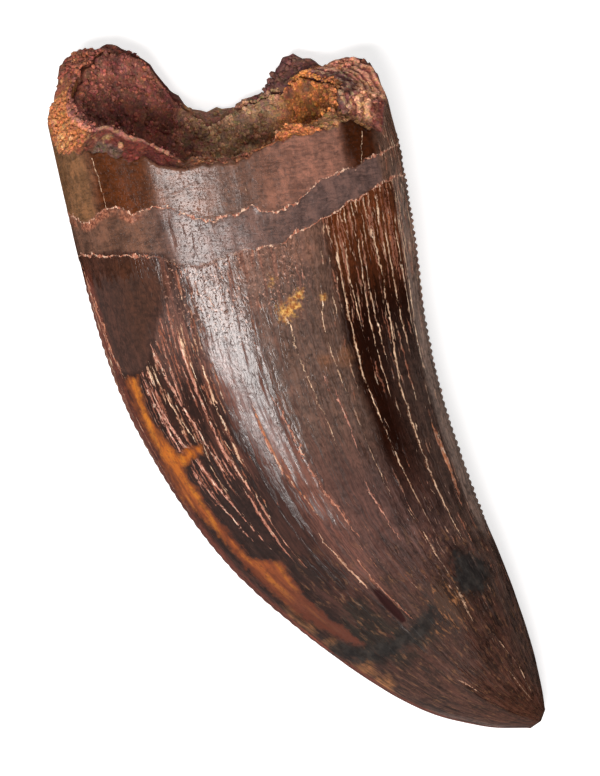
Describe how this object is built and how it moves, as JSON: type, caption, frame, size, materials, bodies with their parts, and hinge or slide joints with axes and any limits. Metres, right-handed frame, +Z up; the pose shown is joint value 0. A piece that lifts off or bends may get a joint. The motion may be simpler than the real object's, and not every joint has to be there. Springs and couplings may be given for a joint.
{
  "type": "tyrannosaurus tooth",
  "caption": "Curved fossil tooth with serrated cutting edges, a broken open root and sand grains cemented in its pulp cavity, lying on its side.",
  "frame": {"origin": "on the resting surface, under the middle of the tooth's outline", "axes": "+Z up off the surface that the tooth lies on, +Y towards the broken root, the tip bends towards +X and -Y"},
  "size_m": [0.0498, 0.0688, 0.0205],
  "materials": {
    "tooth": "mineralised enamel, dark brown with cream cracks and ochre stains, satin gloss",
    "sandstone_lining": "cemented sand grains, tan to rust brown, matt"
  },
  "bodies": {
    "root": {"tooth": "tooth", "sandstone_lining": "sandstone_lining"}
  },
  "joints": []
}
